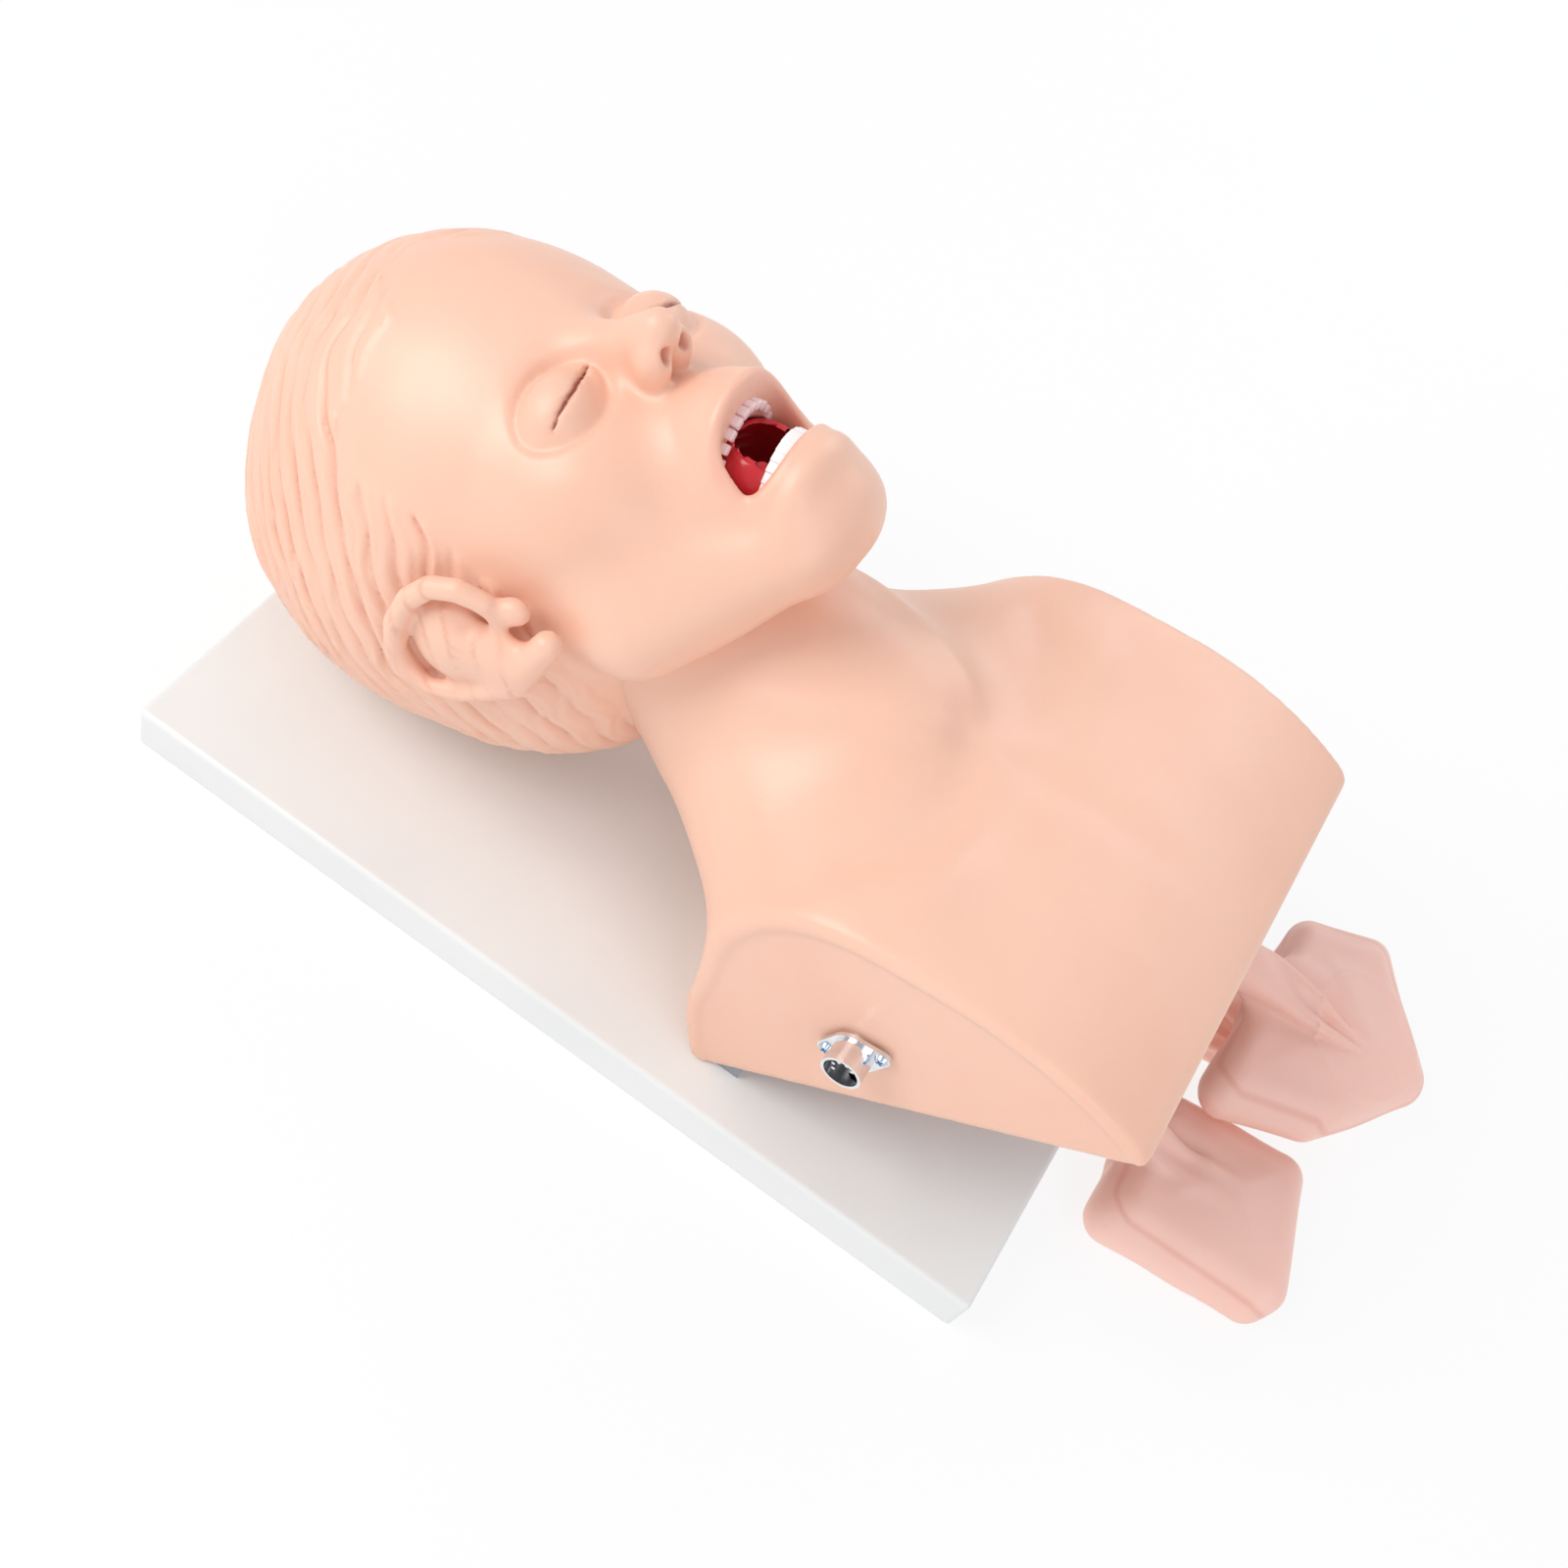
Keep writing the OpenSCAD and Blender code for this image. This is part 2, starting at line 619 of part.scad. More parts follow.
module screw(d, l, head_d, head_h) {
    difference() {
        union() {
            cylinder(d1 = head_d, d2 = head_d * 0.7, h = head_h, $fn = 28);
            translate([0, 0, -l]) cylinder(d = d, h = l + 0.1, $fn = 24);
        }
        for (w = [0, 90])
            rotate([0, 0, w]) translate([-head_d * 0.28, -0.4, head_h - 0.8]) cube([head_d * 0.56, 0.8, 2]);
    }
}
module bracket_screws() {
    color(steel_colour)
        for (y = [-1, 1], x = bracket_holes)
            translate([x, y * bracket_screw_y, board_t + plate_t]) screw(3.6, 19, 8.5, 2.6);
}

// Small angle brackets that hold the bust's lower edge to the board
cleat_y = 78;
cleat_holes = [70];
cleat_l = 14;
module bust_cleats() {
    color([0.55, 0.57, 0.60])
        for (y = [-1, 1])
            difference() {
                translate([cleat_holes[0] - cleat_l / 2, y > 0 ? cleat_y - 9 : -bust_hw + bust_t + 0.02, board_t])
                    union() {
                        cube([cleat_l, bust_hw - bust_t - 0.02 - cleat_y + 9, 2.5]);
                        translate([0, y > 0 ? bust_hw - bust_t - cleat_y + 9 - 2.52 : 0, 0]) cube([cleat_l, 2.5, 22]);
                    }
                translate([cleat_holes[0], y * cleat_y, board_t - 1]) cylinder(d = 3.6, h = 6, $fn = 28);
            }
}
module cleat_screws() {
    color(steel_colour)
        for (y = [-1, 1], x = cleat_holes)
            translate([x, y * cleat_y, board_t + 2.5]) screw(3, 14, 6.5, 2);
}

// The five pin panel socket in the right shoulder
socket_x = 106;
socket_z = 104;
flange_t = 1.6;
ear_pitch = 24;
socket_turn = 41;
module at_socket() {
    translate([socket_x, -bust_hw - 0.06, socket_z]) rotate([90, 0, 0]) rotate([0, 0, socket_turn]) children();
}
module socket_shell() {
    color([0.86, 0.87, 0.88])
        at_socket()
            difference() {
                union() {
                    linear_extrude(flange_t)
                        hull() {
                            circle(plug_d / 2 + 1.5, $fn = 48);
                            for (x = [-1, 1]) translate([x * ear_pitch / 2, 0]) circle(3.4, $fn = 32);
                        }
                    cylinder(d = plug_d, h = plug_l, $fn = 48);
                    translate([0, 0, -9]) cylinder(d = plug_d - 1, h = 10, $fn = 48);
                }
                translate([0, 0, 3]) cylinder(d = plug_d - 2.4, h = plug_l, $fn = 48);
                translate([0, 0, -10]) cylinder(d = plug_d - 5, h = 9, $fn = 48);
                for (x = [-1, 1]) translate([x * ear_pitch / 2, 0, -1]) cylinder(d = 3, h = 4, $fn = 24);
            }
}
module socket_insert() {
    color([0.08, 0.08, 0.09])
        at_socket()
            difference() {
                translate([0, 0, 3]) cylinder(d = plug_d - 2.4, h = 3.4, $fn = 48);
                translate([-1.2, -plug_d / 2, 4.4]) cube([2.4, 3, 3]);
                for (w = pin_angles)
                    rotate([0, 0, w]) translate([pin_ring, 0, 3.5]) cylinder(d = pin_d, h = 4, $fn = 20);
            }
}
pin_angles = [0, 45, 90, 135, 180];
pin_ring = 4;
pin_d = 1.5;
module socket_pins() {
    color(steel_colour)
        at_socket()
            for (w = pin_angles)
                rotate([0, 0, w]) translate([pin_ring, 0, 3.5]) cylinder(d = pin_d, h = plug_l - 5, $fn = 20);
}
module socket_screws() {
    color(steel_colour)
        at_socket()
            for (x = [-1, 1])
                translate([x * ear_pitch / 2, 0, flange_t]) screw(2.9, 3.4, 5.4, 1.4);
}

base_board();
bust_skin();
head_skin();
skull();
mandible();
upper_teeth();
lower_teeth();
tongue();
mouth_lining();
epiglottis();
larynx();
trachea();
bronchi();
right_lung();
left_lung();
oesophagus();
stomach_bag();
neck_bracket();
neck_pin();
jaw_pins();
bracket_screws();
bust_cleats();
cleat_screws();
teeth_plate();
plate_springs();
bite_switch();
socket_shell();
socket_insert();
socket_pins();
socket_screws();
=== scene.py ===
# %% [markdown]
# # An airway trainer: soft plastic modelled with distance fields
# The CAD part gives the pieces, their places and how they move. This lesson dresses them.
# A head and a bust are organic, so they are written as blended distances to a few balls and rods,
# then turned into meshes. The hard pieces keep their CAD shapes and get materials of their own.

# %% Load the frame
import math
import bmesh
import bpy
import numpy as np
from mathutils import Matrix, Vector


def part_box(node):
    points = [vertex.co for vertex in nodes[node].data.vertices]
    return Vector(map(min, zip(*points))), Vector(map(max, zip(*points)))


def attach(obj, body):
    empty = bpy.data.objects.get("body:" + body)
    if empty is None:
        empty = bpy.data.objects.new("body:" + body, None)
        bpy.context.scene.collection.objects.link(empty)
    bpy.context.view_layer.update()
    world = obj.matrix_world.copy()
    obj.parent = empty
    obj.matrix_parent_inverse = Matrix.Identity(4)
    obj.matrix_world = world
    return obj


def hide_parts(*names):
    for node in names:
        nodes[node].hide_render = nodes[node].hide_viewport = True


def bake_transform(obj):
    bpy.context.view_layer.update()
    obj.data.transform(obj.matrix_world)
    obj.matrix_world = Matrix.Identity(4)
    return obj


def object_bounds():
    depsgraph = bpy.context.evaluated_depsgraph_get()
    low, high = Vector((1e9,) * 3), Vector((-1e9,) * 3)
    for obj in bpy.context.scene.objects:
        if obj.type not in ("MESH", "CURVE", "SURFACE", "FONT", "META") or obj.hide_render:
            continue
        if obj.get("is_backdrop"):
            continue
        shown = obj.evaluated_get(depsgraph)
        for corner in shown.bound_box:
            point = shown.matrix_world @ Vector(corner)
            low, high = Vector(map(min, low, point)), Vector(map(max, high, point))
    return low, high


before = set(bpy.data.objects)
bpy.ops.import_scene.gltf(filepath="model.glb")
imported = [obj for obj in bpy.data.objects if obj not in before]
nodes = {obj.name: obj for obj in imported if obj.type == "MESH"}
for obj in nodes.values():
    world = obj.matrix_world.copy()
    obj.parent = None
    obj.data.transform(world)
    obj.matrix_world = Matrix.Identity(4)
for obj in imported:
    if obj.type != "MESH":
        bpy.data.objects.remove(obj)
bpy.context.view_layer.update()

# %% [markdown]
# ## Axes of the head
# The head is tilted back on the board. Its features are easier to place in axes of its own:
# f points out of the face, l to the figure's left and u to the crown. Millimetres are used here.

# %% Head axes
MM = 0.001
head_origin = np.array([-85.5, 0.0, 155.0], np.float32)
tilt = math.radians(101.7)
head_f = np.array([math.cos(tilt), 0, math.sin(tilt)], np.float32)
head_u = np.array([-math.sin(tilt), 0, math.cos(tilt)], np.float32)

def to_head(points):
    """Row coordinates in mm to (f, l, u)."""
    d = points - head_origin
    return np.stack([d @ head_f, d[:, 1], d @ head_u], 1)

def from_head(points):
    """(f, l, u) back to row coordinates in mm."""
    p = np.asarray(points, np.float32)
    left = np.array([0, 1, 0], np.float32)
    return head_origin + p[:, :1] * head_f + p[:, 1:2] * left + p[:, 2:] * head_u

def fold(points):
    """Both sides of the figure folded onto its left one."""
    p = points.copy()
    p[:, 1] = np.abs(p[:, 1])
    return p

print("the face looks along", head_f.round(3))

# %% [markdown]
# ## Distances and blends
# Each helper takes many points at once and returns how far each is from a form, negative inside.
# join melts two forms together over a width k, and cut carves one out of another just as softly.

# %% Distance helpers
def ball(p, centre, radii):
    d = p - np.array(centre, np.float32)
    r = np.array(radii, np.float32)
    a = np.sqrt(((d / r) ** 2).sum(1))
    b = np.sqrt(((d / r ** 2) ** 2).sum(1)) + 1e-6
    return a * (a - 1) / b

def rod(p, a, b, ra, rb):
    a, b = np.array(a, np.float32), np.array(b, np.float32)
    h = np.clip((p - a) @ (b - a) / ((b - a) @ (b - a)), 0, 1)
    return np.sqrt(((p - a - h[:, None] * (b - a)) ** 2).sum(1)) - (ra + (rb - ra) * h)

def chain(p, points, r):
    """Distance to a line through several points."""
    return np.min([rod(p, a, b, r, r) for a, b in zip(points, points[1:])], 0)

def join(a, b, k):
    h = np.maximum(k - np.abs(a - b), 0) / k
    return np.minimum(a, b) - h * h * k / 4

def cut(a, b, k):
    return -join(-a, b, k)

def ramp(v, low, high):
    """0 below low, 1 above high, smooth in between."""
    t = np.clip((v - low) / (high - low), 0, 1)
    return t * t * (3 - 2 * t)

def wobble(p, size, seed):
    """A smooth random field from -1 to 1 whose bumps are about size wide."""
    rng = np.random.default_rng(seed)
    total = 0
    for i in range(6):
        k = rng.normal(size=3)
        k *= 2 * math.pi / (size * rng.uniform(0.7, 1.5) * np.linalg.norm(k))
        total = total + np.sin(p @ k.astype(np.float32) + rng.uniform(0, 6.28))
    return total / 3.5

print("a ball of 10 mm, 4 mm away:", ball(np.array([[14.0, 0, 0]], np.float32), (0, 0, 0), (10, 10, 10)))

# %% [markdown]
# ## From a distance to a mesh
# nets samples a distance on a grid, but finely only near the surface. Every grid cell that the surface
# crosses gets one point, the mean of its crossings, and each crossed grid edge becomes a face.
# keep thins a mesh afterwards where it is smooth, so that small details can have a fine grid.

# %% Surface nets
def sample(field, low, step, shape, k=4):
    """The field on a grid of that shape, with far points only roughly right."""
    axes = [low[i] + step * np.arange(shape[i], dtype=np.float32) for i in range(3)]
    rough = np.stack(np.meshgrid(*[a[::k] for a in axes], indexing="ij"), -1)
    size = rough.shape[:3]
    rough = field(rough.reshape(-1, 3)).reshape(size)
    near = np.abs(rough) < 1.3 * k * step
    wide = near.copy()
    for i in range(3):
        for s in (-1, 1):
            wide |= np.roll(near, s, i)
    full = rough.repeat(k, 0).repeat(k, 1).repeat(k, 2)[:shape[0], :shape[1], :shape[2]].copy()
    mask = wide.repeat(k, 0).repeat(k, 1).repeat(k, 2)[:shape[0], :shape[1], :shape[2]]
    where = np.argwhere(mask)
    full[mask] = field((np.array(low, np.float32) + step * where).astype(np.float32))
    return full

def nets(name, field, low, high, step, keep=1.0):
    shape = tuple(4 * math.ceil((high[i] - low[i]) / step / 4) + 1 for i in range(3))
    F = sample(field, low, step, shape)
    inside = F < 0
    cells = np.array(shape) - 1
    total = np.zeros((cells.prod(), 3), np.float32)
    count = np.zeros(cells.prod(), np.float32)
    quads = []
    for ax in range(3):
        a, b = [slice(None)] * 3, [slice(None)] * 3
        a[ax], b[ax] = slice(0, -1), slice(1, None)
        fa, fb = F[tuple(a)], F[tuple(b)]
        change = inside[tuple(a)] != inside[tuple(b)]
        where = np.argwhere(change)
        t = fa[change] / (fa[change] - fb[change])
        point = where.astype(np.float32)
        point[:, ax] += t
        o1, o2 = [(1, 2), (2, 0), (0, 1)][ax]
        # edges on the border of the grid have no four cells around them
        whole = (where[:, [o1, o2]] > 0).all(1) & (where[:, [o1, o2]] < cells[[o1, o2]]).all(1)
        where, point = where[whole], point[whole]
        first_in = inside[tuple(a)][change][whole]
        ring = []
        for d1, d2 in ((0, 0), (-1, 0), (-1, -1), (0, -1)):
            j = where.copy()
            j[:, o1] += d1
            j[:, o2] += d2
            flat = np.ravel_multi_index(tuple(j.T), tuple(cells))
            for c in range(3):
                total[:, c] += np.bincount(flat, point[:, c], len(total))
            count += np.bincount(flat, minlength=len(count))
            ring.append(flat)
        ring = np.stack(ring, 1)
        ring[~first_in] = ring[~first_in][:, ::-1]
        quads.append(ring)
    quads = np.concatenate(quads)
    used, index = np.unique(quads, return_inverse=True)
    quads = index.reshape(-1, 4)
    verts = total[used] / count[used][:, None] * step + np.array(low, np.float32)
    # one light relaxing pass takes the grid's pattern out of the surface
    pull = np.zeros_like(verts)
    n = np.zeros(len(verts), np.float32)
    for i in range(4):
        e, g = quads[:, i], quads[:, (i + 1) % 4]
        for c in range(3):
            pull[:, c] += np.bincount(e, verts[g, c], len(verts))
        n += np.bincount(e, minlength=len(verts))
    verts = verts + 0.5 * (pull / n[:, None] - verts)
    obj = mesh_object(name, verts, quads)
    if keep < 1:
        thin = obj.modifiers.new("thin", "DECIMATE")
        thin.ratio = keep
        bpy.context.view_layer.update()
        graph = bpy.context.evaluated_depsgraph_get()
        obj.data = bpy.data.meshes.new_from_object(obj.evaluated_get(graph))
        obj.modifiers.remove(thin)
        obj.data.polygons.foreach_set("use_smooth", [True] * len(obj.data.polygons))
        print(name, "thinned to", len(obj.data.polygons), "faces")
    return obj

def mesh_object(name, verts, faces, smooth=True):
    """An object at the origin with its place in the mesh; verts are in mm."""
    mesh = bpy.data.meshes.new(name)
    mesh.from_pydata((np.asarray(verts, float) * MM).tolist(), [], np.asarray(faces).tolist())
    if smooth:
        mesh.polygons.foreach_set("use_smooth", [True] * len(mesh.polygons))
    mesh.update()
    obj = bpy.data.objects.new(name, mesh)
    bpy.context.scene.collection.objects.link(obj)
    print(name, len(mesh.vertices), "vertices", len(mesh.polygons), "faces")
    return obj

def points_of(obj):
    co = np.zeros(len(obj.data.vertices) * 3, np.float32)
    obj.data.vertices.foreach_get("co", co)
    return co.reshape(-1, 3) / MM

def paint(obj, name, values):
    """Stores one number per point for the materials to read."""
    layer = obj.data.attributes.new(name, "FLOAT", "POINT")
    layer.data.foreach_set("value", np.clip(values, 0, 1).astype(np.float32))

# %% [markdown]
# ## Materials
# Val lets shader maths be written as sums and products. Look builds one material: a principled shader
# with noise, attributes and bumps plugged into it.

# %% Shader helpers
class Val:
    def __init__(self, look, socket):
        self.look, self.socket = look, socket

    def maths(self, kind, other=0.0, third=None):
        n = self.look.add("ShaderNodeMath", operation=kind)
        self.look.wire(self, n.inputs[0])
        self.look.wire(other, n.inputs[1])
        if third is not None:
            self.look.wire(third, n.inputs[2])
        return Val(self.look, n.outputs[0])

    def __add__(self, o): return self.maths("ADD", o)
    def __sub__(self, o): return self.maths("SUBTRACT", o)
    def __mul__(self, o): return self.maths("MULTIPLY", o)

    def spread(self, low, high, a=0.0, b=1.0):
        """Maps low to a and high to b, clamped."""
        n = self.look.add("ShaderNodeMapRange")
        for i, v in enumerate((self, low, high, a, b)):
            self.look.wire(v, n.inputs[i])
        return Val(self.look, n.outputs[0])

class Look:
    def __init__(self, name, **constants):
        self.mat = bpy.data.materials.new(name)
        self.mat.use_nodes = True
        self.tree = self.mat.node_tree
        self.shader = self.tree.nodes["Principled BSDF"]
        for key, value in constants.items():
            self.shader.inputs[key.replace("_", " ")].default_value = value
        self.where = self.add("ShaderNodeTexCoord").outputs["Object"]

    def add(self, kind, **settings):
        n = self.tree.nodes.new(kind)
        for key, value in settings.items():
            setattr(n, key, value)
        return n

    def wire(self, value, socket):
        if isinstance(value, Val):
            self.tree.links.new(value.socket, socket)
        else:
            socket.default_value = value

    def noise(self, scale, detail=3.0, rough=0.5, stretch=(1, 1, 1)):
        m = self.add("ShaderNodeMapping")
        self.tree.links.new(self.where, m.inputs["Vector"])
        m.inputs["Scale"].default_value = stretch
        n = self.add("ShaderNodeTexNoise")
        self.tree.links.new(m.outputs[0], n.inputs["Vector"])
        for key, value in (("Scale", scale), ("Detail", detail), ("Roughness", rough)):
            n.inputs[key].default_value = value
        return Val(self, n.outputs["Fac"])

    def attr(self, name):
        return Val(self, self.add("ShaderNodeAttribute", attribute_name=name).outputs["Fac"])

    def mix(self, fac, a, b):
        n = self.add("ShaderNodeMix", data_type="RGBA")
        for value, socket in ((fac, n.inputs["Factor"]), (a, n.inputs[6]), (b, n.inputs[7])):
            self.wire((*value, 1.0) if isinstance(value, tuple) else value, socket)
        return Val(self, n.outputs[2])

    def plug(self, **sockets):
        for key, value in sockets.items():
            self.wire(value, self.shader.inputs[key.replace("_", " ")])
        return self

    def bump(self, height, strength=0.3, depth=0.0005):
        n = self.add("ShaderNodeBump")
        self.wire(height, n.inputs["Height"])
        n.inputs["Strength"].default_value = strength
        n.inputs["Distance"].default_value = depth
        self.tree.links.new(n.outputs[0], self.shader.inputs["Normal"])
        return self

def dress(obj, look):
    obj.data.materials.clear()
    obj.data.materials.append(look.mat)
    return obj

# %% [markdown]
# The skin is one soft vinyl. Slow noise shifts its peach tone. Attributes add painted shade to the slits
# of the eyes, the nostrils, the creases between locks of hair and the rims of the lips, and give the
# mouth's lining its deep red.

# %% Soft materials
def vinyl(name, light, deep, gloss=0.36):
    look = Look(name, Subsurface_Weight=0.18, Subsurface_Scale=0.004, Subsurface_Radius=(1.0, 0.45, 0.3))
    tone = look.noise(9.0, 4.0, 0.55)
    colour = look.mix(tone.spread(0.3, 0.75), light, deep)
    look.plug(Roughness=look.noise(55.0, 3.0).spread(0.3, 0.7, gloss - 0.04, gloss + 0.08))
    fine = look.noise(900.0, 2.0) * 0.6 + look.noise(160.0, 3.0) * 0.4
    look.bump(fine, 0.12, 0.0004)
    return look, colour

skin, tone = vinyl("skin_vinyl", (0.90, 0.57, 0.43), (0.86, 0.50, 0.365))
# painted shade in the creases between locks of hair
tone = skin.mix(skin.attr("crease_shade").spread(0.0, 1.0, 0.0, 0.55), tone, (0.72, 0.30, 0.20))
# painted shade, reddish, at the rims of the lips where they roll into the mouth opening
tone = skin.mix(skin.attr("lip").spread(0.0, 1.0, 0.0, 0.35), tone, (0.84, 0.38, 0.30))
# painted shade inside the nostril hollows
tone = skin.mix(skin.attr("nostril"), tone, (0.50, 0.10, 0.05))
# painted shade in the slits between the closed eyelids
tone = skin.mix(skin.attr("eye"), tone, (0.30, 0.045, 0.022))
tone = skin.mix(skin.attr("inside"), tone, (0.55, 0.020, 0.030))
skin.plug(Base_Color=tone)

bag_skin, tone = vinyl("bag_vinyl", (0.96, 0.62, 0.53), (0.93, 0.56, 0.47), 0.42)
# painted shade in the crease where a bag's two layers meet
bag_skin.plug(Base_Color=bag_skin.mix(bag_skin.attr("crease_shade"), tone, (0.78, 0.36, 0.28)))

lining, tone = vinyl("mouth_lining", (0.72, 0.030, 0.045), (0.50, 0.015, 0.022), 0.2)
# painted highlight on the crests of the palate's ridges
lining.plug(Base_Color=lining.mix(lining.attr("ridge_highlight"), tone, (0.86, 0.34, 0.36)))
flesh, tone = vinyl("tongue_rubber", (0.78, 0.20, 0.22), (0.66, 0.13, 0.15), 0.24)
flesh.plug(Base_Color=tone)
pipe_rubber, tone = vinyl("airway_rubber", (0.80, 0.47, 0.38), (0.72, 0.38, 0.30), 0.45)
pipe_rubber.plug(Base_Color=tone)

# %% [markdown]
# The hard pieces: enamel-like teeth, bone-coloured plastic, painted and bright steel, black plastic and
# the white board with its faintly mottled face.

# %% Hard materials
def plain(name, light, deep, rough, metal=0.0, grain=60.0, depth=0.0002, **more):
    look = Look(name, Metallic=metal, **more)
    look.plug(Base_Color=look.mix(look.noise(grain, 4.0).spread(0.3, 0.7), light, deep),
              Roughness=look.noise(grain * 2.5, 3.0).spread(0.3, 0.7, rough * 0.85, rough * 1.15))
    return look.bump(look.noise(grain * 9, 2.0), 0.15, depth)

enamel = plain("tooth_plastic", (0.92, 0.72, 0.71), (0.88, 0.58, 0.58), 0.2)
enamel_white = plain("lower_tooth_plastic", (0.95, 0.92, 0.90), (0.90, 0.86, 0.85), 0.22)
bone = plain("bone_plastic", (0.84, 0.80, 0.68), (0.76, 0.71, 0.58), 0.45)
gum = plain("palate_plastic", (0.62, 0.17, 0.16), (0.52, 0.11, 0.11), 0.25)
steel = plain("bright_steel", (0.80, 0.80, 0.82), (0.68, 0.69, 0.72), 0.16, 1.0, 120.0)
chrome = plain("socket_chrome", (0.86, 0.86, 0.88), (0.74, 0.75, 0.78), 0.12, 1.0, 200.0)
zinc = plain("screw_zinc", (0.62, 0.70, 0.80), (0.50, 0.60, 0.74), 0.2, 1.0, 300.0)
paint_grey = plain("painted_steel", (0.30, 0.32, 0.35), (0.24, 0.26, 0.29), 0.4)
black = plain("black_plastic", (0.020, 0.020, 0.022), (0.012, 0.012, 0.014), 0.35)
board_white = plain("board_plastic", (0.83, 0.835, 0.815), (0.79, 0.80, 0.785), 0.34, 0.0, 14.0, 0.0001)

# %% [markdown]
# ## The head
# A skull, a face block, cheeks, jaw, chin, muzzle and lip are melted together, then the eye sockets are
# pressed in and lids and a nose are added. Hair is a pattern of wavy ridges that stops at a hairline.

# %% Head field
slit = [(0, 41, -3.5), (0, 27, -2.6), (0, 11, 2.6)]
helix = [(7, 76, -7), (13, 79, -3), (17, 82, 6), (14, 84, 16), (5, 86, 24), (-8, 88, 29), (-22, 88, 30),
         (-32, 87, 26), (-36, 86, 17), (-34, 84, 5), (-27, 82, -7), (-18, 80, -17)]

def head_base(q):
    brow, crown = ball(q, (-14, 0, 47), (90, 80, 96)), ball(q, (-38, 0, 50), (80, 84, 101))
    nape = ball(q, (-54, 0, 8), (55, 68, 62))
    d = join(join(brow, crown, 8), nape, 16)
    d = join(d, ball(q, (15, 0, -14), (52, 58, 66)), 22)  # block of the face
    d = join(d, ball(q, (34, 31, -12), (26, 28, 28)), 16)  # cheeks
    d = join(d, rod(q, (2, 46, -44), (36, 15, -82), 20, 18), 20)  # jaw
    d = join(d, ball(q, (41, 0, -91), (20, 22, 15)), 12)  # chin
    d = join(d, ball(q, (52, 0, -50), (30, 25, 25)), 14)  # muzzle
    return join(d, ball(q, (52, 0, -82), (20, 22, 10)), 10)  # lower lip

def opening(q):
    """The gap between the lips, a rounded box 41 mm wide and 21 mm high."""
    flat = (np.abs(q[:, 1]) / 20.5) ** 3.2 + (np.abs(q[:, 2] + 62.6) / 10.6) ** 3.2
    return np.maximum((flat ** (1 / 3.2) - 1) * 10, 46 - q[:, 0])

def cavity(q):
    return join(ball(q, (42, 0, -61), (25, 20.5, 20)), rod(q, (20, 0, -56), (-10, 0, -34), 12, 9), 10)

def lid_edge(q):
    """Distance from the oval edge of the eyelids, negative on the lid."""
    flat = q * np.array([0, 1, 1], np.float32)
    return ball(flat, (0, 27.5, 1.0), (1e6, 18, 14.5))

def nostril(q):
    return ball(q, (83.0, 5.2, -26.5), (3.8, 2.6, 4.6))

def slit_gap(q):
    """How far a point of the face is from the slit of the eye, less the slit's half width."""
    flat = q * np.array([0, 1, 1], np.float32)
    return chain(flat, slit, 0) - 0.55 * np.clip(1 - ((q[:, 1] - 26) / 15.5) ** 2, 0.05, 1)

def hair(q, side):
    """How much hair there is, from 0 to 1, and the height of its locks."""
    stroke = 0.88 * q[:, 2] - 0.475 * q[:, 0]
    p = np.stack([q[:, 0], q[:, 1] * side, q[:, 2]], 1)
    stroke = stroke + 5.0 * wobble(p, 60, 3) + 1.6 * wobble(p, 24, 5)
    line = np.interp(q[:, 2], [-60, -40, -25, -14, 11, 27, 43, 64, 80],
                     [-60, -46, -26, 3, 17, 25, 29, 26, 44])
    scallop = 3.0 * np.abs(np.sin(stroke * math.pi / 11)) + 1.5 * wobble(p, 16, 9)
    g = np.maximum(q[:, 2] - 91 + 20 * ramp(q[:, 1], 8, 30), (line - q[:, 0]) * 0.9) + scallop - 1.5
    amount = ramp(g, -1.2, 2.2)
    lock = np.abs(np.sin(stroke * math.pi / 10)) ** 0.7
    lock2 = np.abs(np.sin((stroke + 3.0 * wobble(p, 30, 13)) * math.pi / 5.2 + 0.8)) ** 0.8
    strength = 0.7 + 0.5 * ramp(wobble(p, 34, 21), -0.7, 0.7)
    side_on = 0.6 + 0.55 * ramp(q[:, 1], 40, 66)
    return amount, (0.75 * lock + 0.35 * lock2 - 0.75) * strength * side_on

def ear(q):
    rim = join(chain(q, helix[:8], 4.2), chain(q, helix[7:], 3.4), 3)
    e = join(rim, ball(q, (-13, 80, 11), (18, 8.5, 16)), 4)
    e = join(e, ball(q, (-12, 79, -9), (15, 7, 14)), 5)
    lobe = rod(q, (-8, 78.5, -20), (5, 76, -27), 6, 5.5)
    e = join(e, lobe, 5)
    hollow = ball(q, (5, 86, 1), (7, 8, 7))
    groove = chain(q, [(9, 86, 9), (0, 88.5, 19), (-14, 90, 23), (-26, 89, 21), (-29, 87, 11)], 1.3)
    e = cut(cut(e, hollow, 3), groove, 3)
    return join(e, ball(q, (11, 74, -12), (5, 4.5, 6)), 4)

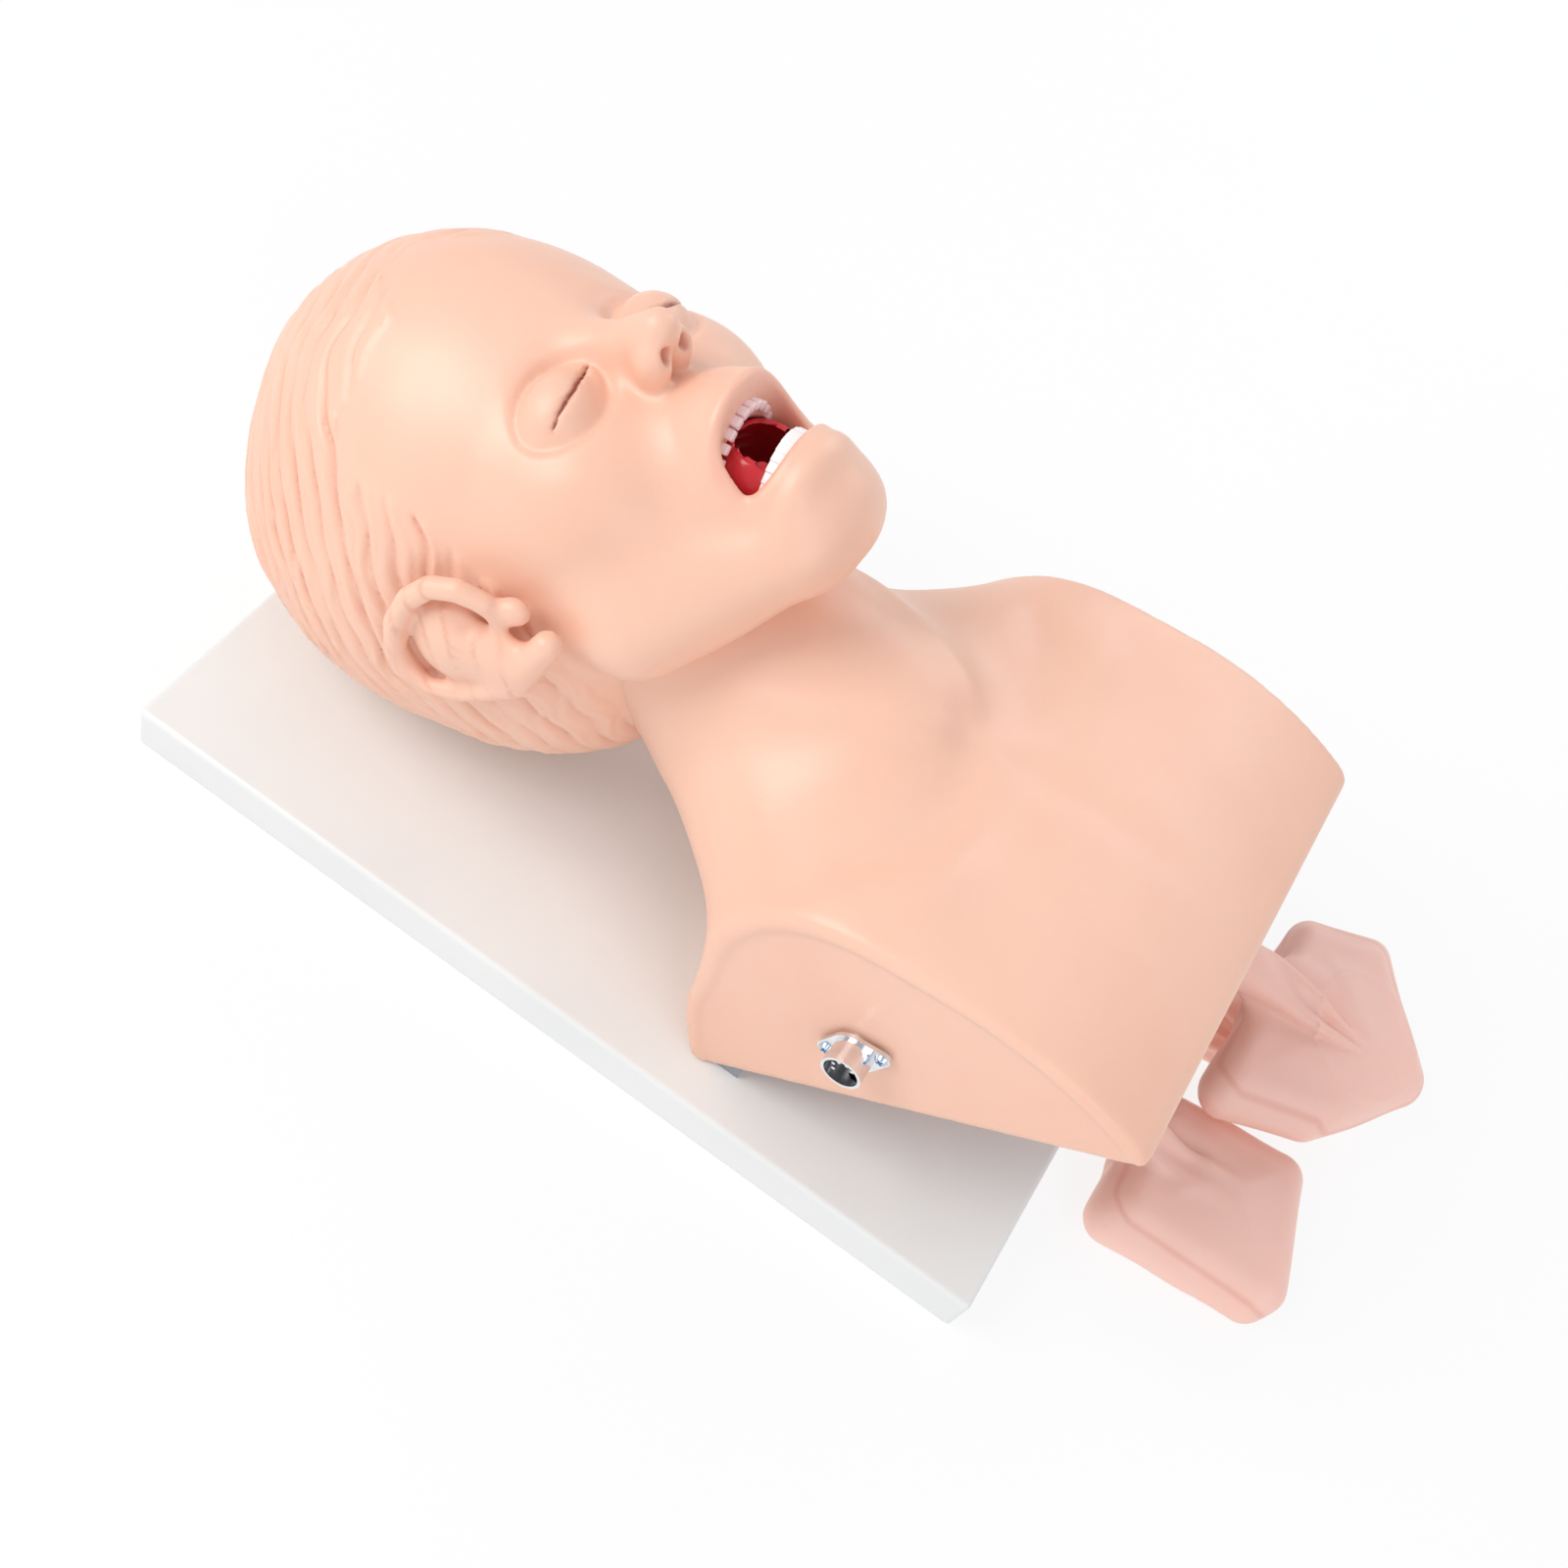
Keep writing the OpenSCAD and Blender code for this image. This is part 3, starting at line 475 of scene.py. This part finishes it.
def head_field(points):
    h = to_head(points)
    q = fold(h)
    d = head_base(q)
    amount, lock = hair(q, np.sign(h[:, 1]))
    d = d - amount * (0.6 + 2.6 * lock)
    d = cut(d, ball(q, (82, 27, 3), (16, 21, 15)), 12)
    d = join(d, ball(q, (55, 27, 1.5), (17.5, 17, 14.5)), 3)
    d = join(d, rod(q, (64, 0, 9), (88, 0, -18), 7, 7), 14)
    d = join(d, ball(q, (78, 7.5, -20.5), (6.5, 5, 5.5)), 8)
    d = cut(d, nostril(q), 1.5)
    front = ramp(q[:, 0], 45, 58)
    edge = lid_edge(q)
    d = d + front * (1.5 * np.exp(-(edge / 2.0) ** 2) - 0.7 * ramp(-edge, 0, 5))
    d = d + 2.2 * front * ramp(-slit_gap(q), -0.8, 0.3)
    m = opening(q)
    d = d - 1.5 * front * np.exp(-((m - 2.6) / 2.4) ** 2)
    under_nose = ramp(q[:, 2], -50, -44) * ramp(-q[:, 2], 33, 37)
    d = d + 0.9 * front * np.exp(-(q[:, 1] / 2.2) ** 2) * under_nose
    cheek_fold = chain(q, [(78, 15, -25), (66, 26, -42), (60, 29, -58)], 0)
    d = d + 0.9 * front * np.exp(-(cheek_fold / 4.5) ** 2)
    d = cut(d, m, 2)
    d = cut(d, cavity(q), 1)
    return join(d, ear(q), 2.5)

skin_mesh = nets("head_look", head_field, (-236, -100, 16), (20, 100, 262), 1.05, 0.45)
h = to_head(points_of(skin_mesh))
q = fold(h)
amount, lock = hair(q, np.sign(h[:, 1]))
# painted shade in the grooves between locks of hair
paint(skin_mesh, "crease_shade", amount * ramp(-lock, 0.05, 0.6) * 0.8)
# painted shade in the groove of each eye slit
paint(skin_mesh, "eye", ramp(q[:, 0], 45, 58) * ramp(-slit_gap(q), -0.5, 0.25))
# painted shade inside the nostril hollows
paint(skin_mesh, "nostril", ramp(-nostril(q), -0.6, 0.6))
# painted shade around the edge of the mouth opening
paint(skin_mesh, "lip", ramp(-np.abs(opening(q) - 1.0), -2.5, -0.5) * ramp(q[:, 0], 50, 62))
in_mouth = ramp(-np.minimum(opening(q) + 2.5, cavity(q)), -1.2, 0.4)
paint(skin_mesh, "inside", in_mouth * ramp(-q[:, 0], -80, -66))
dress(skin_mesh, skin)
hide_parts("head_skin")
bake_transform(skin_mesh)

# %% [markdown]
# ## The bust
# Seen from the side the chest is part of a circle. The neck and the shoulders melt into it, the sides
# are cut flat with a raised rim, and the inside is hollow and open below, as a thin moulding is.

# %% Bust field
def chest_profile(q):
    d = cut(np.hypot(q[:, 0] - 140, q[:, 2] - 33) - 137, q[:, 0] - 42, 50)
    d = cut(d, (40 * (q[:, 0] - 39) + 17 * (q[:, 2] - 64)) / 43.5, 8)
    d = join(d, rod(q, (40, 0, 130), (-60, 0, 130), 46, 46), 34)
    return join(d, rod(q, (10, 20, 106), (84, 72, 116), 34, 44), 26)

def bust_field(points):
    q = fold(points)
    form = chest_profile(q)
    above_clavicle = [(74, 0, 172), (84, 20, 172), (80, 52, 166), (70, 72, 158)]
    clavicle = [(90, 6, 172), (98, 34, 172), (98, 70, 166)]
    neck_muscle = [(72, 8, 172), (40, 26, 172), (4, 42, 158)]
    for line, height, wide in ((above_clavicle, -2.6, 9), (clavicle, 1.6, 8), (neck_muscle, 1.5, 7)):
        form = form - height * np.exp(-(chain(q, line, 0) / wide) ** 2)
    form = form + 1.2 * np.exp(-(q[:, 1] / 8) ** 2) * ramp(q[:, 0], 80, 110) * ramp(-q[:, 0], -195, -150)
    limit = 100 - 1.6 * ramp(-form, 4.5, 8)
    d = cut(form, limit - q[:, 1], 4)
    slope = ((q[:, 0] - 66) * 125 - (q[:, 2] - 24) * 142) / 189.2
    d = cut(d, -slope, 4)
    d = cut(d, 208 - q[:, 0], 9)
    d = np.maximum(d, 24.1 - q[:, 2])
    hollow = np.maximum(np.maximum(form + 4, q[:, 1] - 95), q[:, 0] - 203)
    return cut(d, hollow, 2)

bust = nets("bust_look", bust_field, (-48, -104, 18), (214, 104, 186), 1.75)
dress(bust, skin)
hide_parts("bust_skin")
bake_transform(bust)

# %% [markdown]
# ## Inside the mouth
# The lining is a thin shell inside the cavity of the head, with ridges across the palate. The tongue
# has a groove along its middle. It belongs to the jaw of the CAD part and moves with it.

# %% Lining and tongue
def lining_field(points):
    h = to_head(points)
    on_roof = ramp(h[:, 2], -52, -44) * ramp(h[:, 0], 20, 30)
    c = cavity(h) + 0.5 * np.cos(h[:, 0] * 2 * math.pi / 5.5) * on_roof
    shell = np.maximum(c + 0.5, -(c + 2.3))
    shell = np.maximum(shell, h[:, 0] - 62)
    drop = rod(h, (4, 0, -38), (8, 0, -50), 3.4, 2.4)
    return np.minimum(shell, drop)

roof = nets("lining_look", lining_field, (-80, -30, 128), (-2, 30, 226), 0.9)
h = to_head(points_of(roof))
# painted highlight on the crests of the ridges across the palate
paint(roof, "ridge_highlight", ramp(np.cos(h[:, 0] * 2 * math.pi / 5.5), 0.1, 1.0) * ramp(h[:, 2], -52, -44) * 0.7)
dress(roof, lining)
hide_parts("mouth_lining")
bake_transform(roof)

def tongue_field(points):
    h = to_head(points)
    d = join(ball(h, (52, 0, -73), (9, 11, 6)), ball(h, (36, 0, -68), (15, 13, 8)), 8)
    d = join(d, ball(h, (17, 0, -65), (11, 12, 8)), 8)
    return d + 1.3 * np.exp(-(h[:, 1] / 2.2) ** 2) * ramp(h[:, 2], -70, -64)

tongue = nets("tongue_look", tongue_field, (-40, -18, 164), (-8, 18, 228), 0.9)
dress(tongue, flesh)
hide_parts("tongue")
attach(tongue, "jaw")

# %% [markdown]
# ## Teeth, set along an arch by Geometry Nodes
# One rounded tooth is repeated on points of an ellipse and turned to face outwards. The number of
# teeth and the size of the arch are named inputs, so the same tree makes both rows.

# %% Tooth rows
def rounded_box(name, size, bevel, segments=2):
    bm = bmesh.new()
    bmesh.ops.create_cube(bm, size=1.0)
    bmesh.ops.scale(bm, vec=Vector(size), verts=bm.verts)
    bmesh.ops.bevel(bm, geom=bm.edges[:], offset=bevel, segments=segments, profile=0.6, affect="EDGES")
    mesh = bpy.data.meshes.new(name)
    bm.to_mesh(mesh)
    bm.free()
    return bpy.data.objects.new(name, mesh)

arch_tree = bpy.data.node_groups.new("tooth_arch", "GeometryNodeTree")
face = arch_tree.interface
face.new_socket("Geometry", in_out="INPUT", socket_type="NodeSocketGeometry")
keys = {n: face.new_socket(n, in_out="INPUT", socket_type=t).identifier for n, t in (
    ("Tooth", "NodeSocketObject"), ("Count", "NodeSocketInt"), ("Depth", "NodeSocketFloat"),
    ("Width", "NodeSocketFloat"), ("Spread", "NodeSocketFloat"), ("Material", "NodeSocketMaterial"))}
face.new_socket("Geometry", in_out="OUTPUT", socket_type="NodeSocketGeometry")

def gn(kind, inputs=None, **settings):
    """Adds a node to the tree; inputs maps a socket's name or number to a value or another socket."""
    n = arch_tree.nodes.new(kind)
    for key, value in settings.items():
        setattr(n, key, value)
    for key, value in (inputs or {}).items():
        if isinstance(value, bpy.types.NodeSocket):
            arch_tree.links.new(value, n.inputs[key])
        else:
            n.inputs[key].default_value = value
    return n.outputs[0] if len(n.outputs) else n

start = arch_tree.nodes.new("NodeGroupInput")
one = gn("ShaderNodeMath", {0: start.outputs["Count"], 1: 1.0}, operation="SUBTRACT")
part = gn("ShaderNodeMath", {0: gn("GeometryNodeInputIndex"), 1: one}, operation="DIVIDE")
turn = gn("ShaderNodeMath", {0: gn("ShaderNodeMath", {0: part, 1: 0.5}, operation="SUBTRACT"),
                             1: start.outputs["Spread"]}, operation="MULTIPLY")
cosine = gn("ShaderNodeMath", {0: turn}, operation="COSINE")
sine = gn("ShaderNodeMath", {0: turn}, operation="SINE")
x = gn("ShaderNodeMath", {0: cosine, 1: start.outputs["Depth"]}, operation="MULTIPLY")
y = gn("ShaderNodeMath", {0: sine, 1: start.outputs["Width"]}, operation="MULTIPLY")
place = gn("ShaderNodeCombineXYZ", {"X": x, "Y": y})
dots = gn("GeometryNodePoints", {"Count": start.outputs["Count"], "Position": place})
shape = arch_tree.nodes.new("GeometryNodeObjectInfo")
arch_tree.links.new(start.outputs["Tooth"], shape.inputs["Object"])
euler = gn("ShaderNodeCombineXYZ", {"Z": turn})
rows = gn("GeometryNodeInstanceOnPoints", {"Points": dots, "Instance": shape.outputs["Geometry"],
                                          "Rotation": gn("FunctionNodeEulerToRotation", {0: euler})})
real = gn("GeometryNodeRealizeInstances", {"Geometry": rows})
done = gn("GeometryNodeSetMaterial", {"Geometry": real, "Material": start.outputs["Material"]})
arch_tree.links.new(done, arch_tree.nodes.new("NodeGroupOutput").inputs[0])

def tooth_row(name, count, depth, width, spread, size, f, u, look):
    """A row of teeth in the head's axes, at distance f out and u up."""
    tooth = rounded_box(name + "_unit", size, 0.0007)
    bpy.context.scene.collection.objects.link(tooth)
    carrier = bpy.data.objects.new(name, bpy.data.meshes.new(name))
    bpy.context.scene.collection.objects.link(carrier)
    mod = carrier.modifiers.new("arch", "NODES")
    mod.node_group = arch_tree
    for key, value in (("Tooth", tooth), ("Count", count), ("Depth", depth), ("Width", width),
                       ("Spread", math.radians(spread)), ("Material", look.mat)):
        mod[keys[key]] = value
    bpy.context.view_layer.update()
    mesh = bpy.data.meshes.new_from_object(carrier.evaluated_get(bpy.context.evaluated_depsgraph_get()))
    carrier.modifiers.remove(mod)
    bpy.data.objects.remove(tooth)
    co = np.zeros(len(mesh.vertices) * 3, np.float32)
    mesh.vertices.foreach_get("co", co)
    co = co.reshape(-1, 3) / MM + np.array([f, 0, u], np.float32)
    mesh.vertices.foreach_set("co", (from_head(co) * MM).ravel())
    mesh.polygons.foreach_set("use_smooth", [True] * len(mesh.polygons))
    mesh.update()
    carrier.data = mesh
    print(name, "has", count, "teeth and", len(mesh.vertices), "points")
    return carrier

upper = tooth_row("upper_teeth_look", count=14, depth=0.0290, width=0.0185, spread=164,
                  size=(0.0032, 0.0038, 0.0080), f=43, u=-51.4, look=enamel)
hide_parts("upper_teeth")
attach(upper, "bite_plate")
lower = tooth_row("lower_teeth_look", count=16, depth=0.0265, width=0.0165, spread=160,
                  size=(0.0032, 0.0047, 0.0095), f=42, u=-74, look=enamel_white)
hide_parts("lower_teeth")
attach(lower, "jaw")

# %% [markdown]
# ## Lungs and stomach bag
# Each bag is a rounded outline with a thicker lower layer and a raised face set in from two of its
# edges. Soft folds gather where the bag meets its tube, and a thin moulded line circles the far lung.

# %% Bags
def outline(p, corners):
    """Signed distance in plan to a polygon of corners, given anticlockwise."""
    c = np.array(corners, np.float32)
    best, inside = np.full(len(p), 1e9, np.float32), np.ones(len(p), bool)
    for a, b in zip(c, np.roll(c, -1, 0)):
        e, w = b - a, p[:, :2] - a
        t = np.clip((w @ e) / (e @ e), 0, 1)
        best = np.minimum(best, np.sqrt(((w - t[:, None] * e) ** 2).sum(1)))
        inside &= e[0] * w[:, 1] - e[1] * w[:, 0] > 0
    return np.where(inside, -best, best)

def pillow(p, corners, height, lean, radius, puff):
    """A slab round an outline; lean tilts its middle plane and puff makes it thicker inside."""
    o = outline(p, corners)
    middle = height + (p[:, 0] - 250) * lean[0] + (p[:, 1] - 50) * lean[1]
    return np.hypot(np.maximum(o, 0), (p[:, 2] - middle) / (1 + puff * ramp(-o, 0, 24))) - radius

def bag(name, rim, raised, heights, radii, neck, folds, lean=(0.0, 0.0), mark=None):
    """A soft bag from two outlines in plan, the neck to its tube, folds in mm and a circular line."""
    def layers(p):
        return (pillow(p, rim, heights[0], lean, radii[0], 0.0),
                pillow(p, raised, heights[1], lean, radii[1], 0.35))

    def field(p):
        d = join(join(*layers(p), 2.5), rod(p, *neck), 9)
        end = neck[1]
        away = np.sqrt(((p - np.array(end, np.float32)) ** 2).sum(1))
        turn = np.arctan2(p[:, 2] - end[2], p[:, 1] - end[1])
        d = d + folds * np.sin(turn * 7 + 0.05 * away) * ramp(-away, -44, -12)
        d = d + 0.5 * wobble(p, 40, 31)
        if mark:
            ring = np.abs(np.hypot(p[:, 0] - mark[0], p[:, 1] - mark[1]) - mark[2])
            d = d - 0.7 * ramp(-ring, -1.6, -0.2) * ramp(p[:, 2], 50, 52)
        return np.maximum(d, 0.3 - p[:, 2])

    c = np.array(rim, np.float32)
    margin = 26
    low = (min(c[:, 0].min() - margin, neck[0][0] - 12), c[:, 1].min() - margin, -3)
    high = (c[:, 0].max() + margin, c[:, 1].max() + margin, max(neck[0][2] + 14, 96))
    obj = nets(name + "_look", field, low, high, 1.25)
    lower, upper = layers(points_of(obj))
    # painted shade along the crease between the lower layer and the raised face
    paint(obj, "crease_shade", ramp(-np.abs(lower - upper), -1.4, -0.2) * 0.5)
    dress(obj, bag_skin)
    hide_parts(name)
    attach(obj, "root")

bag("right_lung",
    rim=[(234, -42), (296, -36), (286, 14), (232, 8)],
    raised=[(240, -34), (298, -31), (286, 16), (238, 10)],
    heights=(11, 16), radii=(11, 12), folds=1.2,
    neck=((185, -18, 61), (234, -8, 20), 8.5, 11))
bag("left_lung",
    rim=[(244, 20), (278, 34), (308, 76), (272, 112), (246, 100)],
    raised=[(246, 26), (282, 40), (306, 74), (270, 106), (246, 96)],
    heights=(46, 50), radii=(11, 11), folds=1.8, lean=(-0.12, 0.12),
    neck=((199, 50.5, 83.5), (250, 66, 58), 9, 12), mark=(282, 72, 26))
bag("stomach_bag",
    rim=[(226, 62), (262, 66), (266, 92), (228, 100)],
    raised=[(230, 66), (260, 70), (262, 90), (232, 96)],
    heights=(11, 14), radii=(11, 11), folds=1.0,
    neck=((187, 24, 45.5), (224, 62, 18), 7.5, 10))

# %% [markdown]
# ## The board and the pieces that keep their CAD shapes
# The board is a slab with softly rounded edges. The rest of the CAD pieces are shown as they are,
# with a fine bevel on the machined ones so that their edges catch the light.

# %% Board and hard pieces
low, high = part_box("base_board")
board = rounded_box("board_look", tuple(high - low), 0.0022, 3)
board.data.transform(Matrix.Translation((low + high) / 2))
bpy.context.scene.collection.objects.link(board)
for polygon in board.data.polygons:
    polygon.use_smooth = polygon.area < 0.0012
dress(board, board_white)
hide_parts("base_board")
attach(board, "root")

looks = {"skull": bone, "mandible": bone, "epiglottis": flesh, "larynx": pipe_rubber,
         "trachea": pipe_rubber, "bronchi": pipe_rubber, "oesophagus": pipe_rubber,
         "neck_bracket": paint_grey, "neck_pin": steel,
         "jaw_pins": steel, "bracket_screws": steel, "bust_cleats": paint_grey, "cleat_screws": steel,
         "teeth_plate": gum, "plate_springs": steel, "bite_switch": black, "socket_shell": chrome,
         "socket_insert": black, "socket_pins": steel, "socket_screws": zinc}
for name, look in looks.items():
    dress(nodes[name], look)
    if name in ("neck_bracket", "socket_shell", "bust_cleats", "neck_pin", "jaw_pins"):
        edge = nodes[name].modifiers.new("edge", "BEVEL")
        edge.width, edge.segments, edge.limit_method = 0.0003, 2, "ANGLE"
print(len(looks), "CAD pieces are shown as they are")

# %% [markdown]
# ## Studio
# A white floor, a big soft light from the crown side and a weaker one across from it. The camera
# stands where the photograph's perspective puts it.

# %% Floor, lights and camera
far_off = 9000
corners = [(x * far_off, y * far_off, 0) for x, y in ((-1, -1), (1, -1), (1, 1), (-1, 1))]
ground = mesh_object("floor", corners, [(0, 1, 2, 3)], False)
paper = plain("floor_paper", (0.93, 0.93, 0.93), (0.91, 0.91, 0.91), 0.6, 0.0, 3.0)
glow = paper.add("ShaderNodeEmission")
glow.inputs["Strength"].default_value = 1.0
blend_in = paper.add("ShaderNodeMixShader")
blend_in.inputs[0].default_value = 0.82
paper.tree.links.new(paper.shader.outputs[0], blend_in.inputs[1])
paper.tree.links.new(glow.outputs[0], blend_in.inputs[2])
paper.tree.links.new(blend_in.outputs[0], paper.tree.nodes["Material Output"].inputs["Surface"])
dress(ground, paper)
ground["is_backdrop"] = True

def soft_light(name, place, target, size, watts, colour=(1, 1, 1)):
    data = bpy.data.lights.new(name, "AREA")
    data.size, data.energy, data.color = size, watts, colour
    lamp = bpy.data.objects.new(name, data)
    lamp.location = place
    lamp.rotation_euler = (Vector(target) - Vector(place)).to_track_quat("-Z", "Y").to_euler()
    bpy.context.scene.collection.objects.link(lamp)

soft_light("key", (-0.95, -0.62, 1.15), (0, 0, 0.12), 0.9, 13, (1.0, 0.98, 0.95))
soft_light("fill", (1.1, -0.9, 0.9), (0.05, 0, 0.1), 1.2, 6, (0.97, 0.98, 1.0))
soft_light("back", (0.2, 1.3, 0.9), (0, 0, 0.12), 1.0, 5)

scene = bpy.context.scene
world = bpy.data.worlds.new("studio")
scene.world = world
world.use_nodes = True
wt = world.node_tree
sky = wt.nodes["Background"]
sky.inputs["Color"].default_value = (0.93, 0.95, 1.0, 1.0)
sky.inputs["Strength"].default_value = 0.62
white = wt.nodes.new("ShaderNodeBackground")
path = wt.nodes.new("ShaderNodeLightPath")
choose = wt.nodes.new("ShaderNodeMixShader")
wt.links.new(path.outputs["Is Camera Ray"], choose.inputs[0])
wt.links.new(sky.outputs[0], choose.inputs[1])
wt.links.new(white.outputs[0], choose.inputs[2])
wt.links.new(choose.outputs[0], wt.nodes["World Output"].inputs["Surface"])

right = Vector((0.81593299, 0.50663327, 0.27852484))
down = Vector((0.57347455, -0.64810796, -0.50108185))
ahead = Vector((-0.07335057, 0.56857611, -0.81935395))
camera = bpy.data.objects.new("camera", bpy.data.cameras.new("camera"))
sensor_mm, focal_in_pixels, photo_pixels = 36, 1902.829, 1600
camera.data.sensor_width = sensor_mm
camera.data.lens = sensor_mm * focal_in_pixels / photo_pixels
camera.data.clip_end = 30
turned = Matrix((right, -down, -ahead)).transposed().to_4x4()
camera.matrix_world = Matrix.Translation((0.07965, -0.42763, 0.68618)) @ turned
scene.collection.objects.link(camera)
scene.camera = camera
scene.view_settings.view_transform = "Standard"
print("lens", round(camera.data.lens, 2), "mm")

# %% Shown box and finish
low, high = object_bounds()
print("shown box in metres:", [round(v, 3) for v in low], [round(v, 3) for v in high])
